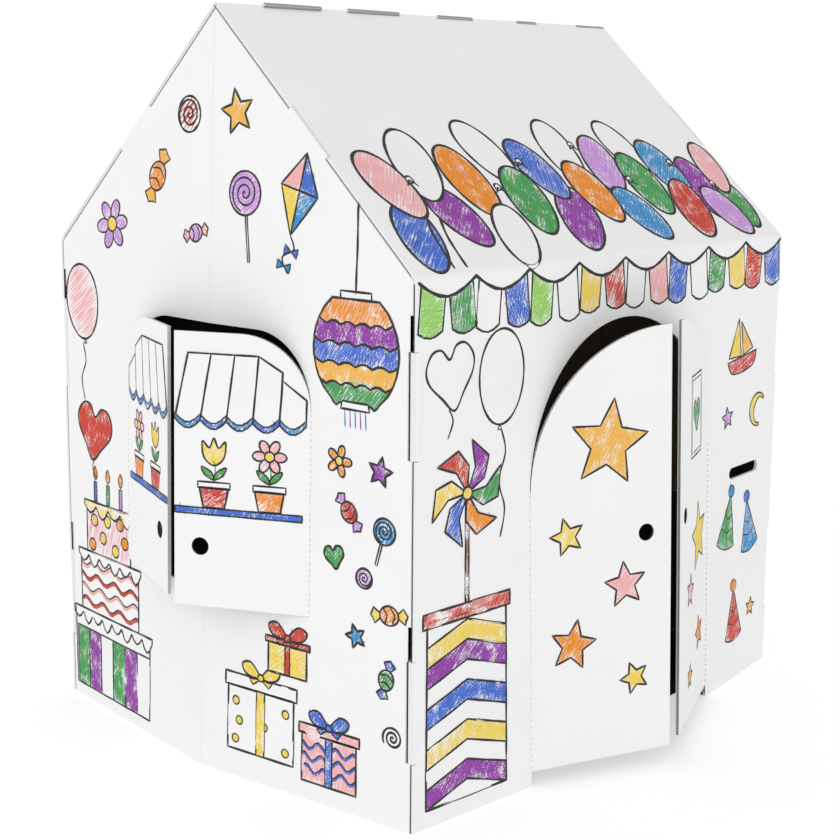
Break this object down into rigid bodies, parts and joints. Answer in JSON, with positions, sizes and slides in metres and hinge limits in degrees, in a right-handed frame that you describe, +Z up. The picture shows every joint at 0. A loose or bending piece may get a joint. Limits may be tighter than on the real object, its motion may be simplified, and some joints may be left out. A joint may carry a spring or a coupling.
{
  "type": "cardboard playhouse",
  "caption": "Child's playhouse folded from printed corrugated card, with a pitched roof, an arched double door, shuttered gable windows and a letter slot.",
  "frame": {"origin": "on the floor, in the middle of the rear wall's outer face", "axes": "+X along the front to the right seen from the front, +Y to the rear, +Z up"},
  "size_m": [0.9504, 0.7783, 0.9774],
  "materials": {
    "front_panel": "matt printed liner",
    "rear_panel": "matt printed liner",
    "gable_left": "matt printed liner",
    "gable_right": "matt printed liner",
    "door_leaf_left": "matt printed liner",
    "door_leaf_right": "matt printed liner",
    "left_shutter_front": "matt printed liner",
    "left_shutter_rear": "matt printed liner",
    "right_shutter_front": "matt printed liner",
    "right_shutter_rear": "matt printed liner"
  },
  "bodies": {
    "house": {"front_panel": "front_panel", "rear_panel": "rear_panel", "gable_left": "gable_left", "gable_right": "gable_right"},
    "door_leaf_left": {"door_leaf_left": "door_leaf_left"},
    "door_leaf_right": {"door_leaf_right": "door_leaf_right"},
    "left_shutter_front": {"left_shutter_front": "left_shutter_front"},
    "left_shutter_rear": {"left_shutter_rear": "left_shutter_rear"},
    "right_shutter_front": {"right_shutter_front": "right_shutter_front"},
    "right_shutter_rear": {"right_shutter_rear": "right_shutter_rear"}
  },
  "joints": [
    {"name": "door_leaf_left_hinge", "type": "hinge", "parent": "house", "child": "door_leaf_left", "pos_m": [-0.205, -0.694, 0], "axis": [0, -0.0318, -0.9995], "range_deg": [-24.6, 145.4]},
    {"name": "door_leaf_right_hinge", "type": "hinge", "parent": "house", "child": "door_leaf_right", "pos_m": [0.205, -0.694, 0], "axis": [0, 0.0318, 0.9995], "range_deg": [-22, 148]},
    {"name": "left_shutter_front_hinge", "type": "hinge", "parent": "house", "child": "left_shutter_front", "pos_m": [-0.42127, -0.5135, 0.234], "axis": [0.0199, 0, 0.9998], "range_deg": [-23.6, 146.4]},
    {"name": "left_shutter_rear_hinge", "type": "hinge", "parent": "house", "child": "left_shutter_rear", "pos_m": [-0.42127, -0.1595, 0.234], "axis": [-0.0199, 0, -0.9998], "range_deg": [-17.5, 152.5]},
    {"name": "right_shutter_front_hinge", "type": "hinge", "parent": "house", "child": "right_shutter_front", "pos_m": [0.42127, -0.5135, 0.234], "axis": [0.0199, 0, -0.9998], "range_deg": [0, 170]},
    {"name": "right_shutter_rear_hinge", "type": "hinge", "parent": "house", "child": "right_shutter_rear", "pos_m": [0.42127, -0.1595, 0.234], "axis": [-0.0199, 0, 0.9998], "range_deg": [0, 170]}
  ]
}
